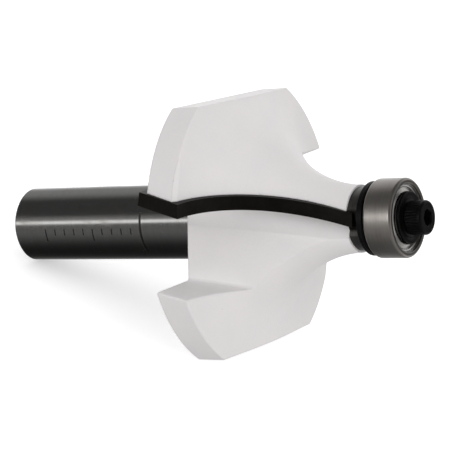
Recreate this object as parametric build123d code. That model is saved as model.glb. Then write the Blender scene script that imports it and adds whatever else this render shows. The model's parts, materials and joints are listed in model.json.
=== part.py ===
from build123d import *
import math
import os

# Bearing-guided round-over router bit: half-inch shank, two carbide-tipped
# flutes, guide ball bearing held on the tip by a socket cap screw.
# Everything is built on the bit's own axis first: X runs from the shank to
# the tip with X = 0 on the back plane of the head, and the angles are
# counted from -Y towards +Z.  At the end the whole bit is laid down the way
# it lies on a bench: on one head flat and the edge of the shank.

os.makedirs("parts", exist_ok=True)

# ------------------------------------------------------------------ sizes, mm
shank_d = 12.70          # half inch
shank_len = 41.0
shank_chamfer = 0.45
root_fillet = 0.8        # shank to back plane

cut_d = 50.80            # over the cutting edges
cove_r = 19.05           # three-quarter inch round-over
edge_start = -1.00       # cutting edge, along the axis
edge_land = 6.55
edge_end = 26.50

body_d = 49.40           # steel head, just under the cutting circle
body_land = 5.25
cove_mid = (11.49, 11.29)
body_end = 25.00
body_end_r = 5.46
flat_dist = 20.49        # the two flats on the head, from the axis
flat_angle = 80.8
edge_soft = 0.28         # the coat rounds the head's outer edges
gullet_root = 0.60       # radius between the gullet's floor and its wall

neck_d = 10.30
neck_end = 27.00
stud_d = 4.74            # the bearing seat
stud_end = 33.15
tap_r = 1.50
tap_bottom = 22.60

# rake plane: z = rake_z0 + rake_sx * x + rake_sq * q, q counted along -Y
rake_z0, rake_sx, rake_sq = 7.58, -0.291, -0.212
wall_z0, wall_sx, wall_sq = -6.93, -0.288, -0.187
tip_thick = 1.91
tip_relief = 0.90
# floor of the gullet, (x, q)
floor_line = [(-4.0, 15.9), (0.0, 13.25), (4.3, 10.6), (8.8, 8.25),
              (14.0, 6.3), (20.0, 5.05), (25.0, 4.6), (30.0, 4.5)]
crease_z0, crease_sx = -0.75, -0.115
relief_angle = 14.0      # how much the floor leans in under the carbide
corner_lean, corner_turn, corner_dist = 28.0, 11.4, 15.88
# inner edge of the carbide, (x, q)
tip_inner = [(-1.0, 19.0), (3.6, 16.2), (8.6, 9.6), (14.0, 5.6),
             (20.0, 3.6), (26.5, 3.3)]

# guide bearing, 3/16 x 1/2 x 0.196 in
bearing_start = 28.35
bearing_w = 4.978
bearing_od = 12.70
bearing_bore = 4.762
ball_d = 2.3812
ball_count = 7
pitch_r = 4.3655
race_r = 1.25            # radius of the groove section
race_play = 0.03
inner_land_r = 3.50
outer_land_r = 5.15
shield_x0 = 1.72         # from the middle of the bearing
shield_t = 0.24
clip_t = 0.20
seat_r = 5.47
clip_groove_r = 5.66

rear_washer_d = 11.9
rear_washer_t = 1.35
rear_boss_d = 6.7
front_washer_d = 8.9
front_washer_t = 0.40
screw_d = 2.90
head_d = 5.50
head_h = 3.00
hex_af = 2.50
hex_depth = 1.50
screw_len = 10.0


def pt(x, q, z):
    """point on the bit's axes, q being the distance along -Y"""
    return Vector(x, -q, z)


def turned(points):
    """solid of revolution about X from (x, r) points; an entry of three
    pairs is an arc"""
    edges = []
    last = None
    first = None
    for p in points:
        if isinstance(p[0], tuple):
            mid, end = p
            edges.append(Edge.make_three_point_arc(
                Vector(last[0], last[1], 0), Vector(mid[0], mid[1], 0),
                Vector(end[0], end[1], 0)))
            last = end
        else:
            if last is not None:
                edges.append(Edge.make_line(Vector(last[0], last[1], 0),
                                            Vector(p[0], p[1], 0)))
            else:
                first = p
            last = p
    if math.dist(last, first) > 1e-6:
        edges.append(Edge.make_line(Vector(last[0], last[1], 0),
                                    Vector(first[0], first[1], 0)))
    face = Face(Wire(edges))
    return Solid.revolve(face, 360, Axis.X)


def half_space(z0, sx, sq, above, size=160):
    """block above or below the plane z = z0 + sx*x + sq*q"""
    n = Vector(-sx, sq, 1).normalized()
    xd = Vector(1, 0, sx).normalized()
    pl = Plane(origin=(0, 0, z0), x_dir=xd, z_dir=n)
    box = Box(size, size, size, align=(Align.CENTER, Align.CENTER,
                                       Align.MIN if above else Align.MAX))
    return pl.location * box


# --------------------------------------------------------------- carbide tip
rake_n = Vector(-rake_sx, rake_sq, 1).normalized()
dir_x = Vector(1, 0, rake_sx).normalized()
dir_q = (Vector(0, -1, 0) - rake_n * Vector(0, -1, 0).dot(rake_n)).normalized()
cut_r = cut_d / 2
arc_c = (edge_land + cove_r, cut_r)


def on_rake(x, r):
    """point of the rake plane at x and radius r on the flute's side"""
    c = rake_z0 + rake_sx * x
    k = rake_sq
    a = math.atan(k)
    th = a + math.asin(c / (r * math.sqrt(1 + k * k)))
    return pt(x, r * math.cos(th), r * math.sin(th))


def rake_at(x, q):
    return pt(x, q, rake_z0 + rake_sx * x + rake_sq * q)


land_pts = [on_rake(edge_start + (edge_land - edge_start) * i / 4, cut_r)
            for i in range(5)]
cove_pts = []
for i in range(13):
    t = math.radians(90.0) * (i / 12) ** 1.15
    cove_pts.append(on_rake(arc_c[0] - cove_r * math.cos(t),
                            arc_c[1] - cove_r * math.sin(t)))
end_pt = on_rake(edge_end, cut_r - cove_r)
inner_pts = [rake_at(x, q) for x, q in tip_inner]
tip_edges = [Edge.make_spline(land_pts), Edge.make_spline(cove_pts),
             Edge.make_line(cove_pts[-1], end_pt),
             Edge.make_line(end_pt, inner_pts[-1])]
for a, b in zip(inner_pts[::-1], inner_pts[-2::-1]):
    tip_edges.append(Edge.make_line(a, b))
tip_edges.append(Edge.make_line(inner_pts[0], land_pts[0]))
tip_face = Face(Wire(tip_edges))
tip_dir = rake_n * tip_thick - dir_x * tip_relief - dir_q * tip_relief
tip = Solid.extrude(tip_face, tip_dir)
tip = tip - Pos(edge_start - 10, 0, 0) * Box(20, 80, 80)
tip = tip.solids()[0] if len(tip.solids()) == 1 else tip

# ---------------------------------------------------------------- cutter body
sr = shank_d / 2
br = body_d / 2
f = root_fillet
body = turned([
    (-shank_len, 0), (-shank_len, sr - shank_chamfer),
    (-shank_len + shank_chamfer, sr), (-f, sr),
    ((-f * (1 - math.sqrt(0.5)), sr + f * (1 - math.sqrt(0.5))), (0, sr + f)),
    (0, br), (body_land, br),
    (cove_mid, (body_end, body_end_r)),
    (body_end, neck_d / 2), (neck_end - 0.2, neck_d / 2),
    (neck_end, neck_d / 2 - 0.2), (neck_end, stud_d / 2),
    (stud_end - 0.25, stud_d / 2), (stud_end, stud_d / 2 - 0.25),
    (stud_end, tap_r + 0.2), (stud_end - 0.2, tap_r),
    (tap_bottom, tap_r), (tap_bottom - 0.85, 0)])

for side in (0, 180):
    th = math.radians(flat_angle + side)
    n = Vector(0, -math.cos(th), math.sin(th))
    pl = Plane(origin=n * flat_dist, x_dir=(1, 0, 0), z_dir=n)
    body -= pl.location * Box(90, 90, 20, align=(Align.CENTER, Align.CENTER,
                                                 Align.MIN))

floor_spl = Edge.make_spline([pt(x, q, 0) for x, q in floor_line])
c0 = pt(floor_line[0][0], 45, 0)
c1 = pt(floor_line[-1][0], 45, 0)
gullet_face = Face(Wire([
    floor_spl,
    Edge.make_line(pt(*floor_line[-1], 0), c1),
    Edge.make_line(c1, c0),
    Edge.make_line(c0, pt(*floor_line[0], 0))]))
gullet_bar = Solid.extrude(gullet_face, Vector(0, 0, 60)).moved(Pos(0, 0, -30))
below_rake = half_space(rake_z0, rake_sx, rake_sq, above=False)
above_wall = half_space(wall_z0, wall_sx, wall_sq, above=True)
main_gullet = gullet_bar & below_rake & above_wall

# the step close under the carbide: the same floor, leaning inwards as it
# rises from a crease that runs beside the cutting edge
ta = math.tan(math.radians(relief_angle))


def at_crease(x, q):
    return pt(x, q + 0.03, crease_z0 + crease_sx * x)


r0 = at_crease(floor_line[0][0], 45)
r1 = at_crease(floor_line[-1][0], 45)
relief_face = Face(Wire([
    Edge.make_spline([at_crease(x, q) for x, q in floor_line]),
    Edge.make_line(at_crease(*floor_line[-1]), r1),
    Edge.make_line(r1, r0),
    Edge.make_line(r0, at_crease(*floor_line[0]))]))
relief_bar = Solid.extrude(relief_face, Vector(0, ta, 1.0) * 14)
relief_cut = relief_bar & below_rake

for side in (0, 180):
    turn = Rot(side, 0, 0)
    body = body - turn * main_gullet
    body = body - turn * relief_cut
# the corner behind each carbide is ground back on a flat, widest at the seat
corner_n = Vector(math.cos(math.radians(corner_lean)),
                  -math.sin(math.radians(corner_lean)) * math.cos(math.radians(corner_turn)),
                  math.sin(math.radians(corner_lean)) * math.sin(math.radians(corner_turn)))
corner_plane = Plane(origin=corner_n * corner_dist, z_dir=corner_n)
corner_cut = corner_plane.location * Box(60, 60, 20, align=(Align.CENTER, Align.CENTER, Align.MIN))
corner_cut = corner_cut & (Pos(4.5, -25, 0) * Box(6, 16, 40))
for side in (0, 180):
    body = body - Rot(side, 0, 0) * corner_cut
for side in (0, 180):
    body = body - Rot(side, 0, 0) * tip


def edges_at(shape, points):
    """on both flutes, the edge whose middle is nearest each point"""
    found = []
    for x, y, z in points:
        for s in (1, -1):
            v = Vector(x, s * y, s * z)
            found.append(min(shape.edges(), key=lambda e: (e.position_at(0.5) - v).length))
    return found


body = body.solids()[0]
body = body.fillet(gullet_root, edges_at(body, [(4.59, 10.43, 10.20)]))
outer_edges = [
    (5.25, -19.57, 15.06), (5.25, 16.61, 18.28),    # where the cove starts
    (5.99, -3.28, 20.23),                           # flat to cove
    (6.65, 14.50, 11.56), (15.06, 6.01, 6.03),      # gullet to cove
    (2.75, 21.71, 11.78),                           # gullet wall to land
    (0, 17.15, 17.77), (0, -21.70, 11.80),          # back rim
    (2.75, 10.34, 22.43), (2.75, -16.89, 18.02),    # flat to land
    (0, -3.28, 20.23), (0, 17.80, 10.60),           # flat and wall, at the back
    (0, 13.25, 5.02)]                               # gullet floor, at the back
body = body.fillet(edge_soft, edges_at(body, outer_edges))

# --------------------------------------------------------------- washers, screw
rw0 = bearing_start - rear_washer_t
boss = rear_boss_d / 2
rear_washer = turned([
    (rw0, stud_d / 2 + 0.03), (rw0, rear_washer_d / 2 - 0.15),
    (rw0 + 0.15, rear_washer_d / 2), (bearing_start - 0.42, rear_washer_d / 2),
    (bearing_start - 0.27, rear_washer_d / 2 - 0.15),
    (bearing_start - 0.27, boss), (bearing_start, boss),
    (bearing_start, stud_d / 2 + 0.03)])

fw0 = bearing_start + bearing_w
front_washer = turned([
    (fw0, screw_d / 2 + 0.10), (fw0, front_washer_d / 2 - 0.08),
    (fw0 + 0.08, front_washer_d / 2),
    (fw0 + front_washer_t - 0.12, front_washer_d / 2),
    (fw0 + front_washer_t, front_washer_d / 2 - 0.12),
    (fw0 + front_washer_t, screw_d / 2 + 0.10)])

h0 = fw0 + front_washer_t
hr = head_d / 2
screw = turned([
    (h0 - screw_len, 0), (h0 - screw_len, screw_d / 2 - 0.35),
    (h0 - screw_len + 0.35, screw_d / 2), (h0, screw_d / 2), (h0, hr - 0.1),
    (h0 + 0.1, hr), (h0 + head_h - 0.42, hr),
    ((h0 + head_h - 0.12, hr - 0.12), (h0 + head_h, hr - 0.42)),
    (h0 + head_h, 0)])
hex_r = hex_af / math.sqrt(3)
socket_plane = Plane(origin=(h0 + head_h, 0, 0), x_dir=(0, 1, 0),
                     z_dir=(-1, 0, 0))
hex_face = socket_plane * RegularPolygon(hex_r, 6)
screw = screw - extrude(hex_face, hex_depth)
screw = screw - turned([(h0 + head_h - 0.18, 0), (h0 + head_h - 0.18, hex_af / 2),
                        (h0 + head_h + 0.1, hex_af / 2 + 0.28),
                        (h0 + head_h + 0.1, 0)])
drill = turned([(h0 + head_h - hex_depth + 0.1, 0),
                (h0 + head_h - hex_depth + 0.1, hex_af / 2 - 0.02),
                (h0 + head_h - hex_depth, hex_af / 2 - 0.02),
                (h0 + head_h - hex_depth - 0.55, 0)])
screw = screw - drill

# ---------------------------------------------------------------- the bearing
bc = bearing_start + bearing_w / 2
hw = bearing_w / 2
inner_groove = pitch_r - ball_d / 2 - race_play + race_r
outer_groove = pitch_r + ball_d / 2 + race_play - race_r


def groove_half(land, centre_r):
    return math.sqrt(race_r ** 2 - (land - centre_r) ** 2)


gi = groove_half(inner_land_r, inner_groove)
go = groove_half(outer_land_r, outer_groove)
inner_ring = turned([
    (bc - hw, bearing_bore / 2 + 0.15), (bc - hw, inner_land_r - 0.12),
    (bc - hw + 0.12, inner_land_r), (bc - gi, inner_land_r),
    ((bc, inner_groove - race_r), (bc + gi, inner_land_r)),
    (bc + hw - 0.12, inner_land_r), (bc + hw, inner_land_r - 0.12),
    (bc + hw, bearing_bore / 2 + 0.15), (bc + hw - 0.15, bearing_bore / 2),
    (bc - hw + 0.15, bearing_bore / 2)])

s0, s1 = shield_x0, shield_x0 + shield_t
s2 = s1 + clip_t
ro = bearing_od / 2
outer_ring = turned([
    (bc - hw + 0.3, ro), (bc + hw - 0.3, ro),
    ((bc + hw - 0.088, ro - 0.088), (bc + hw, ro - 0.3)),
    (bc + hw, seat_r + 0.08), (bc + hw - 0.08, seat_r),
    (bc + s2, seat_r), (bc + s2, clip_groove_r), (bc + s1, clip_groove_r),
    (bc + s1, seat_r), (bc + s0, seat_r), (bc + s0, outer_land_r),
    (bc + go, outer_land_r),
    ((bc, outer_groove + race_r), (bc - go, outer_land_r)),
    (bc - s0, outer_land_r), (bc - s0, seat_r), (bc - s1, seat_r),
    (bc - s1, clip_groove_r), (bc - s2, clip_groove_r), (bc - s2, seat_r),
    (bc - hw + 0.08, seat_r), (bc - hw, seat_r + 0.08), (bc - hw, ro - 0.3),
    ((bc - hw + 0.088, ro - 0.088), (bc - hw + 0.3, ro))])


def shield(sign):
    """thin pressed disc, flanged at its seat and dished at the inner edge"""
    a, b = bc + sign * s0, bc + sign * s1
    d = sign * 0.16
    return turned([(a, seat_r - 0.02), (a, 4.75), (a + d, 4.55), (a + d, 3.62),
                   (b + d, 3.62), (b + d, 4.62), (b, 4.82),
                   (b, seat_r - 0.02)])


def snap_ring(sign, gap_angle):
    a, b = bc + sign * s1, bc + sign * s2
    a, b = min(a, b) + 0.01, max(a, b) - 0.01
    ring = turned([(a, 5.30), (b, 5.30), (b, clip_groove_r - 0.02),
                   (a, clip_groove_r - 0.02)])
    slot = Rot(gap_angle, 0, 0) * Pos(bc + sign * 2.0, 5.5, 0) * Box(1.0, 2.0, 1.1)
    return ring - slot


shield_rear, shield_front = shield(-1), shield(1)
clip_rear, clip_front = snap_ring(-1, 205), snap_ring(1, 25)


def ball_at(i):
    a = math.radians(360.0 * i / ball_count + 90)
    return Vector(bc, -pitch_r * math.cos(a), pitch_r * math.sin(a))


balls = [Sphere(ball_d / 2).moved(Pos(ball_at(i))) for i in range(ball_count)]


def cage_half():
    """one pressed half of the ribbon cage: flats between pockets"""
    t = 0.24
    r_in, r_out = 3.98, 4.76
    flat = turned([(bc, r_in), (bc, r_out), (bc + t, r_out), (bc + t, r_in)])
    zone = turned([(bc, r_in), (bc, r_out), (bc + 1.6, r_out), (bc + 1.6, r_in)])
    half = flat
    for i in range(ball_count):
        half = half + (Pos(ball_at(i)) * (Rot(0, 90, 0) * Sphere(ball_d / 2 + 0.30)) & zone)
    for i in range(ball_count):
        half = half - Pos(ball_at(i)) * (Rot(0, 90, 0) * Sphere(ball_d / 2 + 0.06))
    return half


cage_front = cage_half()
cage_rear = mirror(cage_front, Plane(origin=(bc, 0, 0), x_dir=(0, 1, 0),
                                     z_dir=(1, 0, 0)))

# ------------------------------------------------- laid down, as it comes to rest
th = math.radians(flat_angle + 180)
m = Vector(0, -math.cos(th), math.sin(th))          # out of the lower flat
# it touches on the rounded back edge of the flat and on the shank's last edge
cx, cr = edge_soft, flat_dist - edge_soft
reach = math.hypot(cx + shank_len - shank_chamfer, cr - sr)
tilt = (math.atan2(cr - sr, cx + shank_len - shank_chamfer)
        + math.asin(edge_soft / reach))
down = m * math.cos(tilt) - Vector(1, 0, 0) * math.sin(tilt)
up = down * -1
fwd = (Vector(1, 0, 0) - up * Vector(1, 0, 0).dot(up)).normalized()
# the frame in which the bit was drawn, seen from the bench frame
bench = Plane(origin=down * (flat_dist * math.cos(tilt)), x_dir=fwd, z_dir=up)
lay = bench.location.inverse()

named = {
    "cutter_body": body,
    "carbide_tip_1": tip,
    "carbide_tip_2": Rot(180, 0, 0) * tip,
    "rear_washer": rear_washer,
    "bearing_inner_ring": inner_ring,
    "bearing_outer_ring": outer_ring,
    "bearing_cage_rear": cage_rear,
    "bearing_cage_front": cage_front,
    "bearing_shield_rear": shield_rear,
    "bearing_shield_front": shield_front,
    "shield_clip_rear": clip_rear,
    "shield_clip_front": clip_front,
    "front_washer": front_washer,
    "cap_screw": screw,
}
for i, b in enumerate(balls):
    named["ball_%d" % (i + 1)] = b

laid = {k: s.moved(lay) if not isinstance(s, list) else s for k, s in named.items()}
boxes = [s.bounding_box() for s in laid.values()]
x_mid = (min(b.min.X for b in boxes) + max(b.max.X for b in boxes)) / 2
y_mid = (min(b.min.Y for b in boxes) + max(b.max.Y for b in boxes)) / 2
z_low = min(b.min.Z for b in boxes)
shift = Pos(-x_mid, -y_mid, -z_low)
for k, s in laid.items():
    s = s.moved(shift)
    sol = s.solids()
    export_step(sol[0] if len(sol) == 1 else Compound(sol), "parts/%s.step" % k)
print("tilt %.4f  shift %.5f %.5f %.5f" % (math.degrees(tilt), -x_mid, -y_mid, -z_low))
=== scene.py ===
import json
import math

import bmesh
import bpy
from mathutils import Matrix, Vector

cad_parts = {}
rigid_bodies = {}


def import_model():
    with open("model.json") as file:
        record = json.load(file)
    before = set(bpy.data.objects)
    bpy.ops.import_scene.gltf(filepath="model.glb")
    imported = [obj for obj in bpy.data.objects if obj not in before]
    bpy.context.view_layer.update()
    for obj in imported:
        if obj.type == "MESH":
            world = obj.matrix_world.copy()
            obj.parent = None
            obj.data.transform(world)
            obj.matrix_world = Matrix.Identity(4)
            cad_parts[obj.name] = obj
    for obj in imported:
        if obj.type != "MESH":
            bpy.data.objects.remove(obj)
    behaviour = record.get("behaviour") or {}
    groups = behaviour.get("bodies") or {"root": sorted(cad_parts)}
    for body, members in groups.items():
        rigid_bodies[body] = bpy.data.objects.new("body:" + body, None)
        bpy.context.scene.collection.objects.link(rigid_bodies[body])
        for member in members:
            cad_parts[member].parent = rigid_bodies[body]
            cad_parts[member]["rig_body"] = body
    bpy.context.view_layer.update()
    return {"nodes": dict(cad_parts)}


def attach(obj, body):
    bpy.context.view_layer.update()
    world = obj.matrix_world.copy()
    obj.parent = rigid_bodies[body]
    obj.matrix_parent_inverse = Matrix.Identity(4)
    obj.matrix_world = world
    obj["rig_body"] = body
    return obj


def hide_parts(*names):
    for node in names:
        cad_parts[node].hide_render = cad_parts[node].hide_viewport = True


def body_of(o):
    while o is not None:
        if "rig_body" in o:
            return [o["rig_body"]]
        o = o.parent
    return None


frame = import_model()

nodes = frame["nodes"]
scene = bpy.context.scene

# ------------------------------------------------------------------ the bit's own axes
# Everything on the bit is thought of on its own axis, in millimetres: X from
# the shank to the tip with 0 on the head's back plane, Z up across the flutes.
BIT_X = Vector((0.94482222, 0.0, 0.32758354))
BIT_Q = Vector((-0.05237445, -0.98713627, 0.15105930))
BIT_Z = Vector((-0.32336959, 0.15988119, 0.93266828))
BIT_O = Vector((2.58987, 0.0, 19.28313725))
BIT = Matrix((
    (BIT_X.x, -BIT_Q.x, BIT_Z.x, BIT_O.x),
    (BIT_X.y, -BIT_Q.y, BIT_Z.y, BIT_O.y),
    (BIT_X.z, -BIT_Q.z, BIT_Z.z, BIT_O.z),
    (0, 0, 0, 1)))
MM = Matrix.Scale(0.001, 4)
TO_REST = MM @ BIT                      # bit axes in mm -> the row frame in m
EULER = BIT.to_3x3().to_euler("XYZ")


# ------------------------------------------------------------------ node helpers
class Mat:
    """A node material with short calls for the nodes used here."""

    def __init__(self, name):
        self.m = bpy.data.materials.new(name)
        self.m.use_nodes = True
        self.t = self.m.node_tree
        self.t.nodes.clear()
        self.out = self.t.nodes.new("ShaderNodeOutputMaterial")
        self.bsdf = self.t.nodes.new("ShaderNodeBsdfPrincipled")
        self.t.links.new(self.bsdf.outputs[0], self.out.inputs["Surface"])
        self._bit = None

    def put(self, sock, value):
        if isinstance(value, bpy.types.NodeSocket):
            self.t.links.new(value, sock)
        else:
            sock.default_value = value

    def set(self, **kw):
        for k, v in kw.items():
            self.put(self.bsdf.inputs[k.replace("_", " ")], v)

    def obj(self):
        n = self.t.nodes.new("ShaderNodeTexCoord")
        return n.outputs["Object"]

    def bit(self):
        """the surface point on the bit's axes, in mm"""
        if self._bit is None:
            n = self.t.nodes.new("ShaderNodeMapping")
            n.vector_type = "TEXTURE"
            n.inputs["Location"].default_value = BIT_O * 0.001
            n.inputs["Rotation"].default_value = EULER
            n.inputs["Scale"].default_value = (0.001, 0.001, 0.001)
            self.t.links.new(self.obj(), n.inputs["Vector"])
            self._bit = n.outputs[0]
        return self._bit

    def xyz(self, v):
        n = self.t.nodes.new("ShaderNodeSeparateXYZ")
        self.put(n.inputs[0], v)
        return n.outputs[0], n.outputs[1], n.outputs[2]

    def vec(self, x, y, z):
        n = self.t.nodes.new("ShaderNodeCombineXYZ")
        for s, v in zip(n.inputs, (x, y, z)):
            self.put(s, v)
        return n.outputs[0]

    def math(self, op, a, b=0.0, c=0.0, clamp=False):
        n = self.t.nodes.new("ShaderNodeMath")
        n.operation = op
        n.use_clamp = clamp
        self.put(n.inputs[0], a)
        self.put(n.inputs[1], b)
        self.put(n.inputs[2], c)
        return n.outputs[0]

    def vmath(self, op, a, b=(0, 0, 0), scale=None):
        n = self.t.nodes.new("ShaderNodeVectorMath")
        n.operation = op
        self.put(n.inputs[0], a)
        self.put(n.inputs[1], b)
        if scale is not None:
            self.put(n.inputs["Scale"], scale)
        return n.outputs["Value"] if op in ("DOT_PRODUCT", "LENGTH", "DISTANCE") else n.outputs["Vector"]

    def scaled(self, v, sx, sy, sz):
        return self.vmath("MULTIPLY", v, (sx, sy, sz))

    def noise(self, v, scale=1.0, detail=3.0, rough=0.5, dist=0.0, dims="3D"):
        n = self.t.nodes.new("ShaderNodeTexNoise")
        n.noise_dimensions = dims
        self.put(n.inputs["Vector"], v)
        n.inputs["Scale"].default_value = scale
        n.inputs["Detail"].default_value = detail
        n.inputs["Roughness"].default_value = rough
        n.inputs["Distortion"].default_value = dist
        return n.outputs["Fac"]

    def voronoi(self, v, scale=1.0, feature="F1", rand=1.0):
        n = self.t.nodes.new("ShaderNodeTexVoronoi")
        n.feature = feature
        self.put(n.inputs["Vector"], v)
        n.inputs["Scale"].default_value = scale
        n.inputs["Randomness"].default_value = rand
        return n.outputs["Distance"]

    def remap(self, v, a, b, c=0.0, d=1.0, smooth=False):
        n = self.t.nodes.new("ShaderNodeMapRange")
        n.interpolation_type = "SMOOTHSTEP" if smooth else "LINEAR"
        n.clamp = True
        self.put(n.inputs["Value"], v)
        for k, x in (("From Min", a), ("From Max", b), ("To Min", c), ("To Max", d)):
            self.put(n.inputs[k], x)
        return n.outputs["Result"]

    def mix(self, f, a, b):
        n = self.t.nodes.new("ShaderNodeMix")
        n.data_type = "RGBA"
        self.put(n.inputs["Factor"], f)
        self.put(n.inputs["A"] if False else n.inputs[6], a)
        self.put(n.inputs[7], b)
        return n.outputs[2]

    def bump(self, h, dist, strength=1.0, normal=None):
        n = self.t.nodes.new("ShaderNodeBump")
        n.inputs["Strength"].default_value = strength
        n.inputs["Distance"].default_value = dist
        self.put(n.inputs["Height"], h)
        if normal is not None:
            self.put(n.inputs["Normal"], normal)
        return n.outputs["Normal"]

    def rounded(self, radius_mm, samples=6):
        n = self.t.nodes.new("ShaderNodeBevel")
        n.samples = samples
        n.inputs["Radius"].default_value = radius_mm * 0.001
        return n.outputs["Normal"]

    def edge(self, radius_mm, samples=6):
        """1 on sharp edges, falling to 0 within radius_mm of them"""
        r = self.rounded(radius_mm, samples)
        g = self.t.nodes.new("ShaderNodeNewGeometry")
        d = self.vmath("DOT_PRODUCT", r, g.outputs["Normal"])
        return self.remap(d, 0.985, 0.90, 0.0, 1.0)

    def corner(self, distance_mm, samples=5):
        """1 deep in an inside corner, 0 out on the open faces"""
        n = self.t.nodes.new("ShaderNodeAmbientOcclusion")
        n.samples = samples
        n.only_local = True
        n.inputs["Distance"].default_value = distance_mm * 0.001
        return self.remap(n.outputs["AO"], 0.92, 0.52, 0.0, 1.0)

    def below_rake(self):
        """mm below the rake plane of the flute on this side, and mm up from the axis there"""
        x, y, z = self.xyz(self.bit())
        up = self.math("MULTIPLY", z, self.math("SIGN", self.math("MULTIPLY", y, -1.0)))
        plane = self.math("ADD", self.math("MULTIPLY", x, -0.291), self.math("MULTIPLY", self.math("ABSOLUTE", y), -0.212))
        return self.math("SUBTRACT", self.math("ADD", plane, 7.58), up), up

    def around(self):
        """unit vector round the bit's axis, in world space, for turned and ground finishes"""
        v = self.vmath("CROSS_PRODUCT", self.vec(1, 0, 0), self.bit())
        rot = self.t.nodes.new("ShaderNodeVectorRotate")
        rot.rotation_type = "EULER_XYZ"
        self.put(rot.inputs["Vector"], v)
        rot.inputs["Rotation"].default_value = EULER
        tr = self.t.nodes.new("ShaderNodeVectorTransform")
        tr.vector_type = "VECTOR"
        tr.convert_from, tr.convert_to = "OBJECT", "WORLD"
        self.put(tr.inputs[0], rot.outputs[0])
        return self.vmath("NORMALIZE", tr.outputs[0])


def grey(v, warm=0.0):
    return (v * (1 + warm), v, v * (1 - warm), 1.0)


# ------------------------------------------------------------------ materials
def coating():
    """hard sprayed fluoropolymer coat: satin white, a fine orange peel, faint cloudiness, dust and nicks on the edges"""
    k = Mat("coat_white")
    p = k.bit()
    cloud = k.noise(p, 0.16, 4.0, 0.55)
    fine = k.noise(p, 2.6, 4.0, 0.6)
    base = k.mix(k.remap(cloud, 0.3, 0.7), (0.735, 0.705, 0.705, 1), (0.700, 0.680, 0.684, 1))
    base = k.mix(k.remap(fine, 0.25, 0.75, 0.0, 0.25), base, (0.62, 0.60, 0.60, 1))
    base = k.mix(k.math("MULTIPLY", k.corner(5.0), 0.85), base, (0.93, 0.915, 0.915, 1))   # painted light: the coat's colour whitened in the inside corners, where shade falls
    d, up = k.below_rake()
    # painted light: a band just below the carbide's rake plane, fading out towards the tip
    painted_seat_light = k.math("MULTIPLY", k.remap(d, -0.3, 0.3), k.remap(d, 1.8, 5.6, 1.0, 0.0, True))
    painted_seat_light = k.math("MULTIPLY", painted_seat_light, k.remap(k.xyz(p)[0], 9.0, 20.0, 0.95, 0.35))
    base = k.mix(painted_seat_light, base, (0.93, 0.915, 0.915, 1))          # painted light: whitened along the seat of the carbide too, in the shade under it
    edge = k.edge(0.45)
    nick = k.remap(k.noise(p, 1.15, 5.0, 0.65), 0.56, 0.66)
    worn = k.math("MULTIPLY", edge, nick)
    base = k.mix(k.math("MULTIPLY", edge, 0.42), base, (0.56, 0.53, 0.53, 1))      # painted shade: a thin darker line along every edge
    base = k.mix(k.math("MULTIPLY", worn, 0.60), base, (0.33, 0.32, 0.31, 1))
    speck = k.remap(k.voronoi(p, 0.42), 0.055, 0.035)
    speck = k.math("MULTIPLY", speck, k.remap(k.noise(p, 0.5, 2.0), 0.55, 0.6))
    base = k.mix(k.math("MULTIPLY", speck, 0.35), base, (0.42, 0.40, 0.38, 1))
    rough = k.remap(k.noise(p, 0.9, 3.0), 0.3, 0.7, 0.40, 0.52)
    peel = k.noise(p, 1.7, 2.0, 0.45)
    grit = k.noise(p, 9.0, 2.0, 0.5)
    n = k.bump(peel, 0.000045, 0.55, k.rounded(0.16))
    n = k.bump(grit, 0.000006, 0.5, n)
    n = k.bump(worn, -0.00003, 0.8, n)
    k.set(Base_Color=base, Roughness=rough, Normal=n)
    k.set(IOR=1.45, Specular_IOR_Level=0.35)
    return k.m


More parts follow.
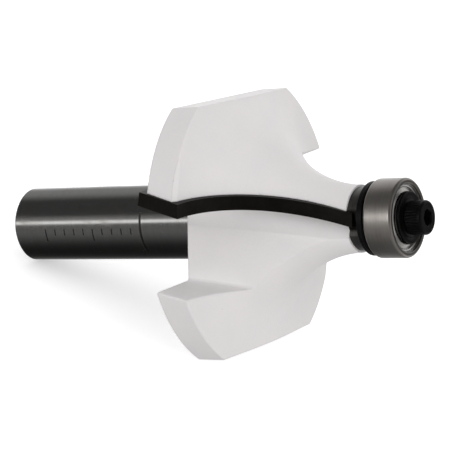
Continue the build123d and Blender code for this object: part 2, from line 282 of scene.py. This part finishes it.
def shank_steel():
    """centreless-ground tool steel: fine lines round the axis, collet rub, a plain laser-etched depth scale"""
    k = Mat("shank_ground")
    p = k.bit()
    x, y, z = k.xyz(p)
    r = k.math("SQRT", k.math("ADD", k.math("MULTIPLY", y, y), k.math("MULTIPLY", z, z)))
    lines = k.noise(k.vec(k.math("MULTIPLY", x, 14.0), k.math("MULTIPLY", r, 11.0), k.math("MULTIPLY", k.math("ADD", y, z), 0.22)), 1.0, 5.0, 0.65)
    broad = k.noise(k.vec(k.math("MULTIPLY", x, 0.5), k.math("MULTIPLY", y, 0.12), k.math("MULTIPLY", z, 0.12)), 1.0, 3.0, 0.5)
    base = k.mix(k.remap(lines, 0.3, 0.7), (0.090, 0.089, 0.087, 1), (0.120, 0.119, 0.116, 1))
    stain = k.remap(k.noise(p, 0.23, 5.0, 0.6, 0.4), 0.52, 0.70)
    base = k.mix(k.math("MULTIPLY", stain, 0.35), base, (0.070, 0.062, 0.054, 1))
    rub = k.remap(k.noise(k.vec(k.math("MULTIPLY", x, 0.35), k.math("MULTIPLY", y, 3.2), k.math("MULTIPLY", z, 3.2)), 1.0, 4.0, 0.7), 0.62, 0.72)
    base = k.mix(k.math("MULTIPLY", rub, 0.30), base, (0.21, 0.20, 0.19, 1))
    edge = k.edge(0.20)
    base = k.mix(k.math("MULTIPLY", edge, 0.4), base, (0.22, 0.21, 0.20, 1))
    # an etched depth scale: a tick every 2 mm, longer every 10 mm, and the
    # line the shank goes in to at least
    turn = k.math("MULTIPLY", k.math("ARCTAN2", z, k.math("MULTIPLY", y, -1.0)), 180 / math.pi)

    def window(v, lo, hi, soft):
        return k.math("MULTIPLY", k.remap(v, lo - soft, lo + soft), k.remap(v, hi - soft, hi + soft, 1.0, 0.0))

    from_line = k.math("SUBTRACT", -14.0, x)                   # mm behind the line
    near_2 = k.math("PINGPONG", from_line, 1.0)
    near_10 = k.math("PINGPONG", from_line, 5.0)
    tick = k.math("MULTIPLY", k.remap(near_2, 0.10, 0.15, 1.0, 0.0), window(turn, -19.0, -9.0, 0.5))
    tall = k.math("MULTIPLY", k.remap(near_10, 0.11, 0.16, 1.0, 0.0), window(turn, -29.0, -9.0, 0.5))
    scale = k.math("MULTIPLY", k.math("MAXIMUM", tick, tall), window(from_line, 1.0, 21.0, 0.02))
    limit = k.math("MULTIPLY", window(x, -14.22, -13.78, 0.04), window(turn, -52.0, 14.0, 0.6))
    etched = k.math("MAXIMUM", scale, limit)
    etched = k.math("MULTIPLY", etched, k.remap(k.noise(p, 3.5, 4.0, 0.7), 0.30, 0.42, 0.55, 1.0))
    base = k.mix(k.math("MULTIPLY", etched, 0.90), base, (0.012, 0.011, 0.010, 1))
    rough = k.math("ADD", k.remap(lines, 0.25, 0.75, 0.10, 0.17), k.math("MULTIPLY", stain, 0.08))
    rough = k.math("ADD", rough, k.math("MULTIPLY", etched, 0.30))
    n = k.bump(lines, 0.0000022, 0.6, k.rounded(0.12))
    n = k.bump(broad, 0.000004, 0.3, n)
    n = k.bump(etched, -0.000012, 0.6, n)
    k.set(Base_Color=base, Roughness=rough, Normal=n, Tangent=k.around())
    k.set(Metallic=1.0, Anisotropic=0.45, Specular_Tint=(0.6, 0.6, 0.6, 1.0))    # dark at a glancing angle too
    return k.m


def neck_steel():
    k = Mat("neck_turned")
    p = k.bit()
    x, y, z = k.xyz(p)
    lines = k.noise(k.vec(k.math("MULTIPLY", x, 9.0), k.math("MULTIPLY", y, 0.3), k.math("MULTIPLY", z, 0.3)), 1.0, 4.0, 0.6)
    base = k.mix(k.remap(lines, 0.3, 0.7), (0.040, 0.038, 0.037, 1), (0.075, 0.072, 0.069, 1))
    # painted shadow: the neck blackened in front of each carbide, where the gap by the carbide's end lies in shade
    d, up = k.below_rake()
    painted_shadow_and_scorch = k.math("MULTIPLY", k.remap(up, -2.2, -1.7), k.remap(up, 1.1, 1.6, 1.0, 0.0))
    painted_shadow_and_scorch = k.math("MULTIPLY", painted_shadow_and_scorch, k.remap(k.noise(p, 1.4, 3.0), 0.25, 0.45, 0.80, 1.0))
    base = k.mix(painted_shadow_and_scorch, base, (0.006, 0.005, 0.004, 1))
    k.set(Base_Color=base, Roughness=k.remap(lines, 0.3, 0.7, 0.30, 0.42),
          Normal=k.bump(lines, 0.000006, 0.8, k.rounded(0.1)), Tangent=k.around())
    k.set(Metallic=1.0, Anisotropic=0.5)
    return k.m


def carbide():
    """fine-ground tungsten carbide, nearly black, with the wheel's lines across it and braze staining by the seat"""
    k = Mat("carbide_ground")
    p = k.bit()
    x, y, z = k.xyz(p)
    lines = k.noise(k.vec(k.math("MULTIPLY", x, 7.0), k.math("MULTIPLY", y, 0.5), k.math("MULTIPLY", z, 0.8)), 1.0, 4.0, 0.6)
    blotch = k.noise(p, 0.35, 4.0, 0.6)
    base = k.mix(k.remap(lines, 0.3, 0.7), (0.0028, 0.0022, 0.0017, 1), (0.0052, 0.0042, 0.0034, 1))
    base = k.mix(k.remap(blotch, 0.45, 0.7, 0.0, 0.35), base, (0.010, 0.0078, 0.0062, 1))
    edge = k.edge(0.12)
    base = k.mix(k.math("MULTIPLY", edge, 0.35), base, (0.035, 0.031, 0.028, 1))
    # the rake face is fresh from the wheel: grey, with its lines across the edge
    g = k.t.nodes.new("ShaderNodeNewGeometry")
    tr = k.t.nodes.new("ShaderNodeVectorTransform")
    tr.vector_type = "NORMAL"
    tr.convert_from, tr.convert_to = "WORLD", "OBJECT"
    k.put(tr.inputs[0], g.outputs["True Normal"])
    n1 = (BIT_X * -0.291 - BIT_Q * 0.212 - BIT_Z).normalized()
    n2 = (BIT_X * -0.291 + BIT_Q * 0.212 + BIT_Z).normalized()
    rake = k.math("MAXIMUM", k.vmath("DOT_PRODUCT", tr.outputs[0], tuple(n1)), k.vmath("DOT_PRODUCT", tr.outputs[0], tuple(n2)))
    rake = k.remap(rake, 0.975, 0.985)
    cross = k.noise(k.vec(k.math("MULTIPLY", x, 0.5), k.math("MULTIPLY", y, 9.0), k.math("MULTIPLY", z, 0.5)), 1.0, 4.0, 0.6)
    ground = k.mix(k.remap(cross, 0.3, 0.7), (0.060, 0.058, 0.056, 1), (0.105, 0.102, 0.098, 1))
    heat = k.remap(k.noise(p, 0.22, 4.0, 0.6), 0.50, 0.68, 0.0, 0.5)
    ground = k.mix(heat, ground, (0.050, 0.040, 0.033, 1))
    base = k.mix(rake, base, ground)
    rough = k.mix(rake, k.remap(lines, 0.3, 0.7, 0.30, 0.42), k.remap(cross, 0.3, 0.7, 0.22, 0.34))
    k.set(Base_Color=base, Roughness=rough, Metallic=k.math("MULTIPLY", rake, 0.85),
          Normal=k.bump(k.mix(rake, lines, cross), 0.000004, 0.7, k.rounded(0.06)))
    k.set(IOR=1.5, Specular_IOR_Level=0.07)
    return k.m


def braze():
    """silver braze, dull and a little scorched"""
    k = Mat("silver_braze")
    p = k.bit()
    lump = k.noise(p, 2.2, 4.0, 0.6)
    base = k.mix(k.remap(lump, 0.35, 0.65), (0.30, 0.25, 0.17, 1), (0.46, 0.40, 0.30, 1))
    painted_shadow_and_scorch = k.remap(k.noise(p, 0.8, 4.0, 0.65), 0.50, 0.66)
    base = k.mix(k.math("MULTIPLY", painted_shadow_and_scorch, 0.75), base, (0.060, 0.048, 0.040, 1))
    k.set(Base_Color=base, Roughness=k.remap(lump, 0.3, 0.7, 0.34, 0.52),
          Normal=k.bump(k.noise(p, 5.0, 3.0, 0.6), 0.00004, 0.6))
    k.set(Metallic=1.0)
    return k.m


def black_oxide(name, lines_k=6.0):
    """black oxide over turned steel: dull black, rubbed a little on the edges"""
    k = Mat(name)
    p = k.bit()
    x, y, z = k.xyz(p)
    lines = k.noise(k.vec(k.math("MULTIPLY", x, lines_k), k.math("MULTIPLY", y, 0.5), k.math("MULTIPLY", z, 0.5)), 1.0, 4.0, 0.6)
    blotch = k.noise(p, 1.3, 4.0, 0.6)
    base = k.mix(k.remap(blotch, 0.35, 0.7), (0.0014, 0.0013, 0.0013, 1), (0.0030, 0.0027, 0.0026, 1))
    edge = k.edge(0.10)
    rub = k.math("MULTIPLY", edge, k.remap(k.noise(p, 2.4, 3.0), 0.42, 0.62))
    base = k.mix(k.math("MULTIPLY", rub, 0.4), base, (0.045, 0.041, 0.038, 1))
    rough = k.remap(k.math("ADD", k.math("MULTIPLY", lines, 0.5), k.math("MULTIPLY", blotch, 0.5)), 0.35, 0.65, 0.34, 0.50)
    k.set(Base_Color=base, Roughness=rough, Normal=k.bump(lines, 0.000006, 0.7, k.rounded(0.05)))
    k.set(Metallic=0.0, IOR=1.5, Specular_IOR_Level=0.06)
    return k.m


def bearing_steel(name="bearing_ground", light=0.36, rough=0.20, warm=0.025, aniso=0.4, fine=16.0, rubbed=0.10):
    """through-hardened ring steel, ground: fine lines round the axis"""
    k = Mat(name)
    p = k.bit()
    x, y, z = k.xyz(p)
    r = k.math("SQRT", k.math("ADD", k.math("MULTIPLY", y, y), k.math("MULTIPLY", z, z)))
    lines = k.noise(k.vec(k.math("MULTIPLY", x, fine), k.math("MULTIPLY", r, fine), 0.0), 1.0, 4.0, 0.65)
    smear = k.noise(k.vec(k.math("MULTIPLY", x, 1.2), k.math("MULTIPLY", y, 0.25), k.math("MULTIPLY", z, 0.25)), 1.0, 4.0, 0.6)
    a = grey(light * 0.88, warm)
    b = grey(light * 1.12, warm)
    base = k.mix(k.remap(lines, 0.3, 0.7), a, b)
    base = k.mix(k.remap(smear, 0.55, 0.75, 0.0, 0.4), base, grey(light * 0.62, warm * 2))
    edge = k.edge(0.12)
    base = k.mix(k.math("MULTIPLY", edge, rubbed), base, grey(min(light * 1.8, 0.8), warm))
    rg = k.math("ADD", k.remap(lines, 0.3, 0.7, rough - 0.03, rough + 0.05), k.remap(smear, 0.5, 0.75, 0.0, 0.08))
    k.set(Base_Color=base, Roughness=rg, Normal=k.bump(lines, 0.0000025, 0.6, k.rounded(0.08)), Tangent=k.around())
    k.set(Metallic=1.0, Anisotropic=aniso)
    return k.m


def floor_mat():
    k = Mat("studio_floor")
    p = k.obj()
    k.set(Base_Color=k.mix(k.noise(p, 30.0, 3.0), (0.86, 0.86, 0.865, 1), (0.885, 0.885, 0.885, 1)),
          Normal=k.bump(k.noise(p, 900.0, 2.0), 0.00002, 0.2))
    k.set(Roughness=0.75, Specular_IOR_Level=0.15, Emission_Color=(1.0, 1.0, 1.0, 1.0), Emission_Strength=0.46)
    k.m.cycles.emission_sampling = "NONE"
    return k.m


COAT, SHANK, NECK, CARBIDE = coating(), shank_steel(), neck_steel(), carbide()
BLACK_SCREW, BLACK_WASHER = black_oxide("black_oxide_screw", 8.0), black_oxide("black_oxide_washer", 5.0)
RING = bearing_steel("bearing_ring_ground", 0.158, 0.33, 0.07, 0.2)
RACE = bearing_steel("bearing_race_ground", 0.42, 0.16, 0.02, 0.3)
BALLS = bearing_steel("ball_lapped", 0.55, 0.08, 0.0, 0.0, 6.0)
SHIELD = bearing_steel("shield_pressed", 0.24, 0.27, 0.04, 0.0, 3.0)
BRAZE = braze()
CAGE = bearing_steel("cage_pressed", 0.40, 0.30, 0.05, 0.0, 5.0)


def dress(name, mat):
    o = nodes[name]
    o.data.materials.clear()
    o.data.materials.append(mat)
    return o


dress("carbide_tip_1", CARBIDE)
dress("carbide_tip_2", CARBIDE)
dress("bearing_inner_ring", RACE)
for n in ("shield_clip_rear", "shield_clip_front"):
    dress(n, SHIELD)
for n in ("bearing_cage_rear", "bearing_cage_front"):
    dress(n, CAGE)
for i in range(1, 8):
    dress("ball_%d" % i, BALLS)

# the head is coated, the shank behind it and the neck in front are bare
body = nodes["cutter_body"]
body.data.materials.clear()
for m in (COAT, SHANK, NECK):
    body.data.materials.append(m)
inv = TO_REST.inverted()
for poly in body.data.polygons:
    x = (inv @ poly.center).x
    poly.material_index = 1 if x < -0.02 else (0 if x < 25.02 else 2)

# ------------------------------------------------------------------ turned pieces
def spun(name, rows, n, sharp=34.0, closed=True):
    """A turned piece: each row is (x, r) in mm on the bit's axis, or a call
    that gives them for an angle; r = 0 closes an end. Rows run from one to
    the next, and back to the first if closed."""
    verts, loops = [], []
    for row in rows:
        if not callable(row) and row[1] == 0:
            verts.append(TO_REST @ Vector((row[0], 0, 0)))
            loops.append([len(verts) - 1] * n)
            continue
        ring = []
        for i in range(n):
            th = 2 * math.pi * i / n
            x, r = row(th) if callable(row) else row
            verts.append(TO_REST @ Vector((x, -r * math.cos(th), r * math.sin(th))))
            ring.append(len(verts) - 1)
        loops.append(ring)
    faces = []
    pairs = list(zip(loops, loops[1:])) + ([(loops[-1], loops[0])] if closed else [])
    for a, b in pairs:
        for i in range(n):
            j = (i + 1) % n
            quad = []
            for v in (a[i], a[j], b[j], b[i]):
                if v not in quad:
                    quad.append(v)
            if len(quad) > 2:
                faces.append(quad)
    me = bpy.data.meshes.new(name)
    me.from_pydata([tuple(v) for v in verts], [], faces)
    bm = bmesh.new()
    bm.from_mesh(me)
    bmesh.ops.recalc_face_normals(bm, faces=bm.faces)
    for e in bm.edges:
        e.smooth = len(e.link_faces) == 2 and e.calc_face_angle(0.0) < math.radians(sharp)
    for f in bm.faces:
        f.smooth = True
    bm.to_mesh(me)
    bm.free()
    o = bpy.data.objects.new(name, me)
    scene.collection.objects.link(o)
    return o


def arc(cx, cr, rad, a0, a1, steps):
    """rows round a corner; angles in degrees, 0 along +x and 90 outwards"""
    out = []
    for i in range(steps + 1):
        a = math.radians(a0 + (a1 - a0) * i / steps)
        out.append((cx + rad * math.cos(a), cr + rad * math.sin(a)))
    return out


def stand_for(o, node, mat):
    """o is shown in place of the CAD node, on the same body"""
    o.data.materials.append(mat)
    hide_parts(node)
    body_name = body_of(nodes[node])[0]
    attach(o, body_name)
    return o


BC = 28.35 + 4.978 / 2                     # middle of the guide bearing
HW = 4.978 / 2

# outer ring, with its race, shield seats, clip grooves and well-rounded rims
rim = 0.46
go = math.sqrt(1.25 ** 2 - (5.15 - 4.3361) ** 2)
race = []
for i in range(13):
    x = go - 2 * go * i / 12
    race.append((BC + x, 4.3361 + math.sqrt(max(1.25 ** 2 - x * x, 0))))
ring_rows = ([(BC - HW + rim, 6.35), (BC + HW - rim, 6.35)]
             + arc(BC + HW - rim, 6.35 - rim, rim, 82, 0, 9)
             + [(BC + HW, 5.55), (BC + HW - 0.02, 5.497), (BC + HW - 0.08, 5.47),
                (BC + 2.16, 5.47), (BC + 2.16, 5.66), (BC + 1.96, 5.66), (BC + 1.96, 5.47),
                (BC + 1.72, 5.47), (BC + 1.72, 5.15)]
             + race
             + [(BC - 1.72, 5.15), (BC - 1.72, 5.47), (BC - 1.96, 5.47), (BC - 1.96, 5.66),
                (BC - 2.16, 5.66), (BC - 2.16, 5.47), (BC - HW + 0.08, 5.47),
                (BC - HW + 0.02, 5.497), (BC - HW, 5.55)]
             + arc(BC - HW + rim, 6.35 - rim, rim, 180, 98, 9))
stand_for(spun("guide_ring_ground", ring_rows, 180), "bearing_outer_ring", RING)


# shields: pressed, with a groove round them and a rolled inner lip
def shield_rows(s):
    pts = [(1.72, 5.45), (1.72, 4.74), (1.80, 4.60), (1.86, 4.54), (1.88, 4.40), (1.88, 3.70),
           (1.90, 3.645), (1.95, 3.62), (2.05, 3.62), (2.10, 3.645), (2.12, 3.70), (2.12, 4.18),
           (2.115, 4.24), (2.102, 4.30), (2.080, 4.36), (2.050, 4.43), (1.930, 4.71), (1.895, 4.80),
           (1.875, 4.87), (1.866, 4.94), (1.868, 5.00), (1.880, 5.05), (1.930, 5.14), (1.950, 5.20),
           (1.955, 5.25), (1.955, 5.45)]
    return [(BC + s * x, r) for x, r in pts]


for s, node in ((1, "bearing_shield_front"), (-1, "bearing_shield_rear")):
    stand_for(spun("pressed_" + node[8:], shield_rows(s), 144), node, SHIELD)

# washers: turned, with broken edges; the front one relieved round the screw
fw = 28.35 + 4.978
front_rows = [(fw, 1.55), (fw, 4.10), (fw + 0.03, 4.18), (fw + 0.08, 4.22), (fw + 0.26, 4.22),
              (fw + 0.33, 4.20), (fw + 0.38, 4.14), (fw + 0.40, 4.06), (fw + 0.40, 3.30),
              (fw + 0.375, 3.25), (fw + 0.375, 2.95), (fw + 0.40, 2.90), (fw + 0.40, 1.55)]
stand_for(spun("front_washer_turned", front_rows, 144), "front_washer", BLACK_WASHER)
rw = 28.35 - 1.35
rear_rows = [(rw, 2.40), (rw, 5.78), (rw + 0.04, 5.88), (rw + 0.13, 5.94), (rw + 0.20, 5.95),
             (rw + 0.50, 5.95), (rw + 0.54, 5.91), (rw + 0.62, 5.91), (rw + 0.66, 5.95),
             (rw + 0.88, 5.95), (rw + 0.97, 5.94), (rw + 1.05, 5.88), (rw + 1.08, 5.79),
             (rw + 1.08, 3.35), (rw + 1.35, 3.35), (rw + 1.35, 2.40)]
stand_for(spun("rear_washer_turned", rear_rows, 144), "rear_washer", BLACK_WASHER)

# cap screw: knurled head with a broken edge, hexagon socket with its lead-in
# and drill point, plain shank with a fine thread on the part in the bit
H0 = 28.35 + 4.978 + 0.40
AF = 1.25
RIDGES, PER = 36, 8


def hexagon(th):
    a = (th + math.pi / 6) % (math.pi / 3) - math.pi / 6
    return AF / math.cos(a)


def knurl(x, r, deep):
    def row(th):
        c = 0.5 - 0.5 * math.cos(RIDGES * th)
        return x, r - deep * (1 - c) ** 2
    return row


top = H0 + 3.0
thread = []
for i in range(10):                       # a run of thread crests, as rings
    x = H0 - 9.55 + i * 0.5
    thread += [(x, 1.44), (x + 0.20, 1.20), (x + 0.30, 1.20)]
screw_rows = ([(H0 - 10.0, 0), (H0 - 10.0, 1.02), (H0 - 9.7, 1.22)] + thread
              + [(H0 - 4.45, 1.44), (H0, 1.44), (H0, 2.55), (H0 + 0.05, 2.64), (H0 + 0.16, 2.71),
                 (H0 + 0.24, 2.75), knurl(H0 + 0.30, 2.75, 0.005), knurl(H0 + 0.42, 2.75, 0.085),
                 knurl(H0 + 2.30, 2.75, 0.085), knurl(H0 + 2.42, 2.75, 0.005), (H0 + 2.50, 2.75)]
              + arc(H0 + 2.58, 2.33, 0.42, 84, 4, 8)
              + [(top, 2.26), (top, 1.50),
                 lambda th: (top - 0.004, max(hexagon(th), AF + 0.18) + 0.002),
                 lambda th: (top - 0.19 + hexagon(th) - AF, hexagon(th)),
                 lambda th: (top - 1.46, hexagon(th)),
                 lambda th: (top - 1.50, hexagon(th) - 0.04),
                 (top - 1.50, 1.12), (top - 2.04, 0.06), (top - 2.05, 0)])
stand_for(spun("socket_cap_screw", screw_rows, RIDGES * PER, closed=False), "cap_screw", BLACK_SCREW)

# the braze that shows along each carbide's inner edge: a fine uneven bead
def on_line(points, x):
    for (x0, q0), (x1, q1) in zip(points, points[1:]):
        if x <= x1:
            t = max(0.0, (x - x0) / (x1 - x0))
            return q0 + (q1 - q0) * t
    return points[-1][1]


INNER = [(-1.0, 19.0), (0.3, 18.35), (1.3, 17.80), (2.5, 17.01), (3.6, 16.2), (4.8, 14.95), (6.1, 13.25), (7.3, 11.45),
         (8.6, 9.6), (10.0, 8.05), (11.6, 6.90), (14.0, 5.6)]
FLOOR = [(-4.0, 15.9), (0.0, 13.25), (4.3, 10.6), (8.8, 8.25), (11.3, 7.18), (14.0, 6.3), (20.0, 5.05), (25.0, 4.6)]


def bead(name, turn, steps=96, around=14):
    path = []
    for i in range(steps + 1):
        x = -0.78 + (24.4 + 0.78) * i / steps
        q = max(on_line(INNER, x), on_line(FLOOR, x) + 0.12 + 0.0 * x)
        path.append(Vector((x, -q, 7.58 - 0.291 * x - 0.212 * q + 0.03)))
    verts, faces = [], []
    n = len(path)
    for i, c in enumerate(path):
        d = (path[min(i + 1, n - 1)] - path[max(i - 1, 0)]).normalized()
        u = d.cross(Vector((0, 0, 1))).normalized()
        w = u.cross(d)
        t = i / (n - 1)
        fat = 0.15 + 0.035 * math.sin(17.0 * t + 1.3) * math.sin(41.0 * t) + 0.02 * math.sin(97.0 * t)
        fat *= min(1.0, 0.25 + 9.0 * t, 0.25 + 9.0 * (1 - t))
        for j in range(around):
            a = 2 * math.pi * j / around
            p = c + u * (fat * 1.25 * math.cos(a)) + w * (fat * math.sin(a))
            if turn:
                p = Vector((p.x, -p.y, -p.z))
            verts.append(TO_REST @ p)
    for i in range(n - 1):
        for j in range(around):
            k = (j + 1) % around
            faces.append((i * around + j, i * around + k, (i + 1) * around + k, (i + 1) * around + j))
    faces.append(tuple(range(around)))
    faces.append(tuple(range((n - 1) * around, n * around)))
    me = bpy.data.meshes.new(name)
    me.from_pydata([tuple(v) for v in verts], [], faces)
    bm = bmesh.new()
    bm.from_mesh(me)
    bmesh.ops.recalc_face_normals(bm, faces=bm.faces)
    for f in bm.faces:
        f.smooth = True
    bm.to_mesh(me)
    bm.free()
    me.materials.append(BRAZE)
    o = bpy.data.objects.new(name, me)
    scene.collection.objects.link(o)
    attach(o, body_of(nodes["cutter_body"])[0])
    return o


bead("braze_line_1", False)
bead("braze_line_2", True)

# ------------------------------------------------------------------ studio
def add_mesh(name, verts, faces, mat=None):
    me = bpy.data.meshes.new(name)
    me.from_pydata([tuple(v) for v in verts], [], faces)
    me.validate()
    me.update()
    o = bpy.data.objects.new(name, me)
    scene.collection.objects.link(o)
    if mat:
        me.materials.append(mat)
    return o


# a seamless sweep: flat floor that rises into a wall far behind, all round
rings = []
profile = [(0.0, 0.0), (0.35, 0.0), (0.9, 0.0), (1.1, 0.02), (1.3, 0.09), (1.45, 0.22), (1.53, 0.40), (1.56, 0.65), (1.57, 1.2), (1.57, 2.2)]
N = 96
verts, faces = [(0, 0, 0)], []
for j, (r, h) in enumerate(profile[1:]):
    for i in range(N):
        a = 2 * math.pi * i / N
        verts.append((r * math.cos(a), r * math.sin(a), h))
for i in range(N):
    faces.append((0, 1 + i, 1 + (i + 1) % N))
for j in range(len(profile) - 2):
    for i in range(N):
        a, b = 1 + j * N + i, 1 + j * N + (i + 1) % N
        faces.append((a, a + N, b + N, b))
floor = add_mesh("studio_sweep", verts, faces, floor_mat())
for poly in floor.data.polygons:
    poly.use_smooth = True

# the room: an even pale surround for the soft light. What shines sees the
# gear of a product studio instead: one narrow strip in front, a soft box
# behind on the left, dark card elsewhere
world = bpy.data.worlds.new("studio_world")
scene.world = world
world.use_nodes = True
world.cycles.sampling_method = "NONE"
wt = world.node_tree
wt.nodes.clear()


def wnode(kind, **inputs):
    n = wt.nodes.new(kind)
    for i, v in inputs.items():
        s = n.inputs[int(i[1:])]
        if isinstance(v, bpy.types.NodeSocket):
            wt.links.new(v, s)
        else:
            s.default_value = v
    return n


def wdot(v, d):
    n = wnode("ShaderNodeVectorMath", i0=v, i1=tuple(d))
    n.operation = "DOT_PRODUCT"
    return n.outputs["Value"]


def wmath(op, a, b=0.0):
    n = wnode("ShaderNodeMath", i0=a, i1=b)
    n.operation = op
    return n.outputs[0]


def wmap(v, a, b, c, d):
    n = wnode("ShaderNodeMapRange", i0=v, i1=a, i2=b, i3=c, i4=d)
    n.interpolation_type = "SMOOTHSTEP"
    n.clamp = True
    return n.outputs[0]


tc = wt.nodes.new("ShaderNodeTexCoord")
way = tc.outputs["Generated"]
dz = wdot(way, (0, 0, 1))
phi = wmath("MULTIPLY", wmath("ARCTAN2", wdot(way, BIT_Z), wdot(way, BIT_Q)), 180 / math.pi)
along = wdot(way, BIT_X)
lower = wmap(dz, -1.0, -0.40, 0.06, 0.72)
under = wmath("MULTIPLY", wmap(along, -0.56, -0.46, 0.0, 0.28), wmap(dz, -0.5, -0.8, 0.0, 1.0))
upper = wmap(dz, -0.05, 0.30, 0.0, 0.46)
strip = wmath("MULTIPLY", wmap(wmath("ABSOLUTE", wmath("SUBTRACT", phi, 3.0)), 2.5, 6.5, 5.2, 0.0), wmap(along, 0.05, -0.15, 0.0, 1.0))
strip = wmath("MULTIPLY", strip, wmap(along, -0.90, -0.72, 0.10, 1.0))
glow = wmath("MULTIPLY", wmap(wmath("ABSOLUTE", wmath("SUBTRACT", phi, 10.0)), 4.0, 18.0, 0.6, 0.0), wmap(along, 0.15, -0.15, 0.0, 1.0))
rear = wmap(wdot(way, Vector((-0.64, 0.72, 0.22)).normalized()), 0.60, 0.95, 0.0, 1.20)
dark = wmap(wdot(way, Vector((0.55, 0.83, 0.05)).normalized()), 0.72, 0.94, 1.0, 0.03)
tail = wmap(along, -0.95, -0.70, 0.10, 1.0)
over = wmap(wdot(way, (BIT_X * 0.37 + BIT_Z * 0.39 - BIT_Q * 0.84).normalized()), 0.935, 0.987, 0.0, 1.7)
below = wmap(wdot(way, (BIT_X * 0.37 - BIT_Z * 0.39 - BIT_Q * 0.84).normalized()), 0.935, 0.987, 0.0, 1.5)
glint = wmap(wdot(way, (BIT_X * -0.08 + BIT_Z * 0.05 + BIT_Q).normalized()), 0.975, 0.995, 0.0, 7.0)
ahead = wmap(wdot(way, (BIT_X * 0.96 - BIT_Q * 0.28).normalized()), 0.86, 0.97, 0.0, 0.9)
level = wmath("ADD", wmath("MULTIPLY", wmath("ADD", wmath("SUBTRACT", lower, upper), under), wmath("MULTIPLY", dark, tail)),
              wmath("ADD", wmath("ADD", strip, glow), wmath("ADD", rear, wmath("ADD", wmath("ADD", over, below), wmath("ADD", ahead, glint)))))
level = wmath("MAXIMUM", level, 0.015)

# what lights the matt surfaces: six broad soft sources that run into each
# other, square to the way the camera looks
CAM_RIGHT = Vector((0.82849776, 0.53037527, 0.17970405))
CAM_UP = Vector((-0.31055720, 0.16812737, 0.93556796))
CAM_BACK = Vector((0.46598894, -0.83092434, 0.30400501))
FILL = ((CAM_RIGHT, 0.81, 0.78), (CAM_UP, 0.83, 0.72), (CAM_BACK, 0.76, 0.79))   # axis, strength on its + side, on its - side
soft = None
for axis, plus, minus in FILL:
    d = wdot(way, axis)
    part = wmath("MULTIPLY", wmath("MULTIPLY", d, d), wmap(d, -0.001, 0.001, minus, plus))
    soft = part if soft is None else wmath("ADD", soft, part)
lp = wt.nodes.new("ShaderNodeLightPath")
level = wmath("ADD", wmath("MULTIPLY", level, lp.outputs["Is Glossy Ray"]),
              wmath("MULTIPLY", wmath("SUBTRACT", 1.0, lp.outputs["Is Glossy Ray"]), soft))
bg = wnode("ShaderNodeBackground", i0=(1.0, 1.0, 1.0, 1.0), i1=level)
wo = wt.nodes.new("ShaderNodeOutputWorld")
wt.links.new(bg.outputs[0], wo.inputs[0])

floor.visible_glossy = False
floor.visible_diffuse = False


def area(name, direction, distance, size_x, size_y, radiance, up=Vector((0, 0, 1)), target=Vector((0, 0, 0.02)), color=(1, 1, 1)):
    """soft light at direction*distance from the target, facing it; power from the wanted radiance"""
    d = Vector(direction).normalized()
    data = bpy.data.lights.new(name, "AREA")
    data.shape = "RECTANGLE"
    data.size, data.size_y = size_x, size_y
    data.energy = radiance * math.pi * size_x * size_y
    data.color = color
    o = bpy.data.objects.new(name, data)
    scene.collection.objects.link(o)
    z = d
    y = Vector(up) - z * Vector(up).dot(z)
    y.normalize()
    x = y.cross(z)
    rot = Matrix((x, y, z)).transposed().to_4x4()
    o.matrix_world = Matrix.Translation(Vector(target) + d * distance) @ rot
    o.visible_glossy = False
    return o


area("soft_key", CAM_BACK + CAM_RIGHT * 0.7, 0.80, 0.50, 0.50, 2.08)
area("soft_fill", CAM_BACK - CAM_RIGHT * 0.7, 0.80, 0.50, 0.50, 1.07)

# ------------------------------------------------------------------ camera
cam_data = bpy.data.cameras.new("photo_camera")
cam = bpy.data.objects.new("photo_camera", cam_data)
scene.collection.objects.link(cam)
cam.matrix_world = Matrix.Translation((0.15472914, -0.27277498, 0.11804911)) @ Matrix((CAM_RIGHT, CAM_UP, CAM_BACK)).transposed().to_4x4()
cam_data.sensor_fit = "HORIZONTAL"
cam_data.sensor_width = 36.0
cam_data.lens = 157.345
cam_data.clip_start, cam_data.clip_end = 0.01, 10.0
scene.camera = cam

scene.view_settings.view_transform = "Standard"
scene.view_settings.look = "None"
scene.view_settings.exposure = 0.0
scene.view_settings.gamma = 1.0
